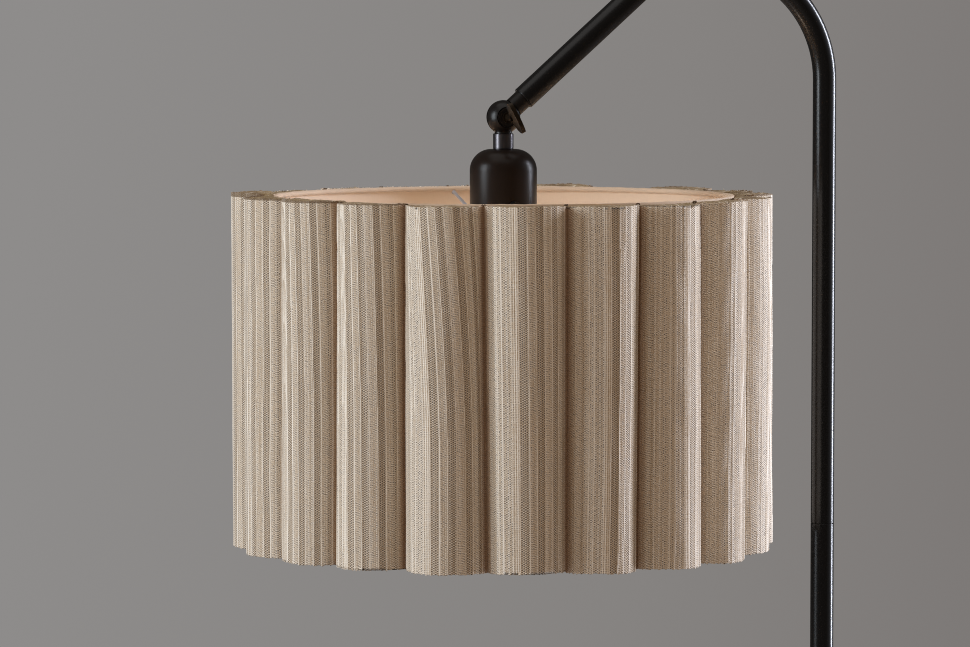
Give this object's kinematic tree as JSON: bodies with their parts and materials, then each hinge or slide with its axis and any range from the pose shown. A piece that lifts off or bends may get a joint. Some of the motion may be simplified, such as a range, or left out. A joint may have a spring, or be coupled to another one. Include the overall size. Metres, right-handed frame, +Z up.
{
  "type": "arc floor lamp",
  "caption": "Floor lamp with a round weighted base, a sectional steel pole bent over at the top, a ball knuckle and a fluted fabric drum shade over a switched socket.",
  "frame": {"origin": "centre of the underside of the base, on the pole axis", "axes": "+Z up the pole; the arm reaches towards -X; -Y is the side of the wing screw and the switch knob"},
  "size_m": [0.638, 0.4302, 1.6975],
  "materials": {
    "bronze_paint": "satin",
    "neck_metal": "gloss",
    "cast_weight": "rough",
    "pad_rubber": "matte",
    "bushing_rubber": "matte",
    "zinc_steel": "brushed",
    "socket_brass": "satin",
    "socket_plastic": "matte",
    "knob_plastic": "satin",
    "wire_steel": "satin",
    "liner_sheet": "matte",
    "former_card": "matte",
    "cap_card": "matte",
    "woven_fabric": "woven",
    "bulb_glass": "frosted",
    "cap_aluminium": "satin",
    "insulator_glass": "gloss"
  },
  "bodies": {
    "stand": {"base_cover": "bronze_paint", "base_weight": "cast_weight", "base_pad": "pad_rubber", "base_stud": "zinc_steel", "base_washer": "zinc_steel", "base_nut": "zinc_steel", "pole_collar": "bronze_paint", "cord_bushing": "bushing_rubber", "lower_pole": "bronze_paint", "lower_pole_insert": "zinc_steel", "lower_joint_stud": "zinc_steel", "middle_pole": "bronze_paint", "middle_pole_insert": "zinc_steel", "upper_joint_stud": "zinc_steel", "bent_arm": "bronze_paint", "bent_arm_insert": "zinc_steel", "arm_end_insert": "zinc_steel", "knuckle_arm_half": "bronze_paint", "knuckle_friction_washer": "socket_plastic"},
    "head": {"knuckle_head_half": "bronze_paint", "screw_washer": "bronze_paint", "neck_sleeve": "neck_metal", "head_nipple": "zinc_steel", "cup_lock_washer": "zinc_steel", "cup_lock_nut": "zinc_steel", "socket_cup": "bronze_paint", "socket_cap": "socket_plastic", "socket_body": "socket_plastic", "socket_screw_shell": "socket_brass", "socket_contact": "socket_brass", "socket_ring": "socket_plastic", "switch_bushing": "socket_brass", "shade_spider": "wire_steel", "shade_bottom_ring": "wire_steel", "shade_liner": "liner_sheet", "flute_formers": "former_card", "flute_end_caps": "cap_card", "shade_fabric": "woven_fabric", "bulb_globe": "bulb_glass", "bulb_cap": "cap_aluminium", "bulb_insulator": "insulator_glass", "bulb_contact": "zinc_steel"},
    "clamp_screw": {"thumb_screw": "bronze_paint"},
    "switch": {"switch_knob": "knob_plastic", "switch_spindle": "socket_brass"}
  },
  "joints": [
    {"name": "head_tilt", "type": "hinge", "parent": "stand", "child": "head", "pos_m": [-0.273, 0, 1.56358], "axis": [0, 1, 0], "range_deg": [-7, 40]},
    {"name": "clamp_screw_turn", "type": "hinge", "parent": "stand", "child": "clamp_screw", "pos_m": [-0.273, 0, 1.56358], "axis": [0, -1, 0], "range_deg": [0, 540]},
    {"name": "switch_turn", "type": "hinge", "parent": "head", "child": "switch", "pos_m": [-0.273, -0.03, 1.49358], "axis": [0, -1, 0], "continuous": true}
  ]
}
